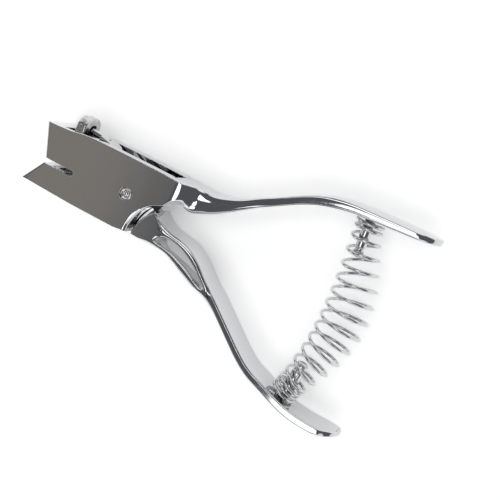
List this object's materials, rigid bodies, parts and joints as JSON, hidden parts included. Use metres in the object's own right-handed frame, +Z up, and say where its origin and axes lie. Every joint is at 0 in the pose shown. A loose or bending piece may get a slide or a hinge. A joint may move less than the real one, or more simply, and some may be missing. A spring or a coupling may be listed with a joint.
{
  "type": "card slot punch",
  "caption": "Plier-shaped hand punch for a round-ended card slot: forked head with throat and die, plunger, pivoted lever and a barrel spring between the handles.",
  "frame": {"origin": "on the flat cheek that the tool rests on, 12 mm ahead of the pivot", "axes": "+X from the jaws back to the handles, +Y from the lower handle to the upper one, +Z up across the jaws, along the pivot"},
  "size_m": [0.1521, 0.082, 0.021],
  "materials": {
    "chrome_plate": "polished chrome plate",
    "hardened_steel": "dull ground steel",
    "rivet_steel": "bright plated steel",
    "spring_wire": "bright plated wire"
  },
  "bodies": {
    "head": {"head_and_upper_handle": "chrome_plate", "pivot_rivet": "rivet_steel", "near_pivot_washer": "rivet_steel", "far_pivot_washer": "rivet_steel", "die_insert": "hardened_steel", "upper_spring_post": "chrome_plate", "return_spring": "spring_wire"},
    "lever": {"lever_and_lower_handle": "chrome_plate", "lower_spring_post": "chrome_plate"},
    "punch": {"slot_punch": "hardened_steel"}
  },
  "joints": [
    {"name": "lever_pivot", "type": "hinge", "parent": "head", "child": "lever", "pos_m": [0.012, 0, 0.0105], "axis": [0, 0, 1], "range_deg": [0, 10], "stiffness_Nm_per_rad": 6, "springref_deg": -3.44, "deforming": ["return_spring"]},
    {"name": "punch_slide", "type": "slide", "parent": "head", "child": "punch", "axis": [0, -1, 0], "range_m": [0, 0.0051]}
  ],
  "couplings": [
    {"joint": "punch_slide", "follows": "lever_pivot", "m_per_rad": 0.02915}
  ]
}
